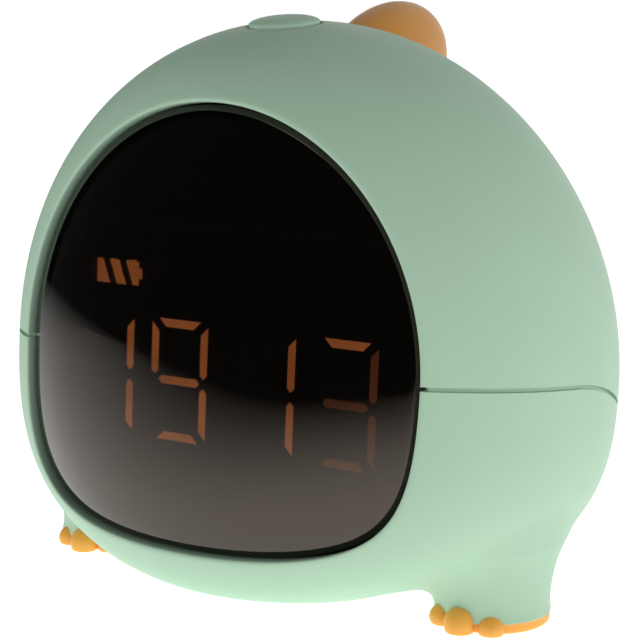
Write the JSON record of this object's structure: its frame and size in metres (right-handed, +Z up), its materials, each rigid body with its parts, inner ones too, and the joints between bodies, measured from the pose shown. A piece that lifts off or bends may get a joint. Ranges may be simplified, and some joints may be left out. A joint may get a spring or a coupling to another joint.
{
  "type": "kids alarm clock with night light",
  "caption": "Egg-shaped children's alarm clock with a dinosaur's crest, tail and toed feet, a dark digital display window, a snooze button on top and rear buttons.",
  "frame": {"origin": "centre of the overall box's base, on the table", "axes": "+Z up, +X to the right of someone facing the clock, the display faces -Y"},
  "size_m": [0.11, 0.0954, 0.0967],
  "materials": {
    "shell_plastic": "matte mint-green moulded plastic",
    "smoked_lens": "glossy smoked clear plastic",
    "amber_diffuser": "translucent amber plastic",
    "black_plastic": "matte black",
    "segment_diffuser": "frosted diffuser resin",
    "led_body": "clear resin lamp",
    "circuit_board": "solder-masked board",
    "inner_plastic": "plain white plastic",
    "screw_steel": "zinc-plated steel",
    "battery_foil": "foil pouch",
    "foam_pad": "closed-cell foam",
    "speaker_steel": "black-coated steel frame",
    "socket_steel": "nickel-plated shell",
    "plunger_plastic": "black nylon",
    "button_plastic": "matte orange moulded plastic",
    "foot_plastic": "matte orange moulded plastic",
    "pad_rubber": "soft rubber"
  },
  "bodies": {
    "clock": {"upper_shell": "shell_plastic", "lower_shell": "shell_plastic", "front_lens": "smoked_lens", "night_light_crest": "amber_diffuser", "display_mask": "black_plastic", "display_segments": "segment_diffuser", "display_leds": "led_body", "display_board": "circuit_board", "display_frame": "inner_plastic", "display_frame_screws": "screw_steel", "battery": "battery_foil", "battery_pad": "foam_pad", "main_board": "circuit_board", "main_board_screws": "screw_steel", "main_board_parts": "black_plastic", "speaker": "speaker_steel", "speaker_gasket": "foam_pad", "charging_socket": "socket_steel", "light_board": "circuit_board", "light_board_screws": "screw_steel", "night_leds": "led_body", "top_switch": "black_plastic", "top_board": "circuit_board", "top_board_screws": "screw_steel", "rear_switches": "black_plastic", "case_screws": "screw_steel", "left_foot": "foot_plastic", "right_foot": "foot_plastic", "left_foot_pad": "pad_rubber", "right_foot_pad": "pad_rubber", "foot_screws": "screw_steel", "belly_pads": "pad_rubber"},
    "snooze": {"top_button": "shell_plastic", "top_plunger": "plunger_plastic"},
    "mode": {"mode_button": "button_plastic", "mode_plunger": "plunger_plastic"},
    "alarm": {"alarm_button": "button_plastic", "alarm_plunger": "plunger_plastic"},
    "down": {"down_button": "button_plastic", "down_plunger": "plunger_plastic"},
    "up": {"up_button": "button_plastic", "up_plunger": "plunger_plastic"}
  },
  "joints": [
    {"name": "snooze_press", "type": "slide", "parent": "clock", "child": "snooze", "axis": [0, 0.1, -0.995], "range_m": [0, 0.0008], "stiffness_N_per_m": 2000, "springref_m": -0.0004},
    {"name": "mode_press", "type": "slide", "parent": "clock", "child": "mode", "axis": [0, -0.9976, 0.0698], "range_m": [0, 0.0005], "stiffness_N_per_m": 2000, "springref_m": -0.0004},
    {"name": "alarm_press", "type": "slide", "parent": "clock", "child": "alarm", "axis": [0, -0.9976, 0.0698], "range_m": [0, 0.0005], "stiffness_N_per_m": 2000, "springref_m": -0.0004},
    {"name": "down_press", "type": "slide", "parent": "clock", "child": "down", "axis": [0, -0.9976, 0.0698], "range_m": [0, 0.0005], "stiffness_N_per_m": 2000, "springref_m": -0.0004},
    {"name": "up_press", "type": "slide", "parent": "clock", "child": "up", "axis": [0, -0.9976, 0.0698], "range_m": [0, 0.0005], "stiffness_N_per_m": 2000, "springref_m": -0.0004}
  ]
}
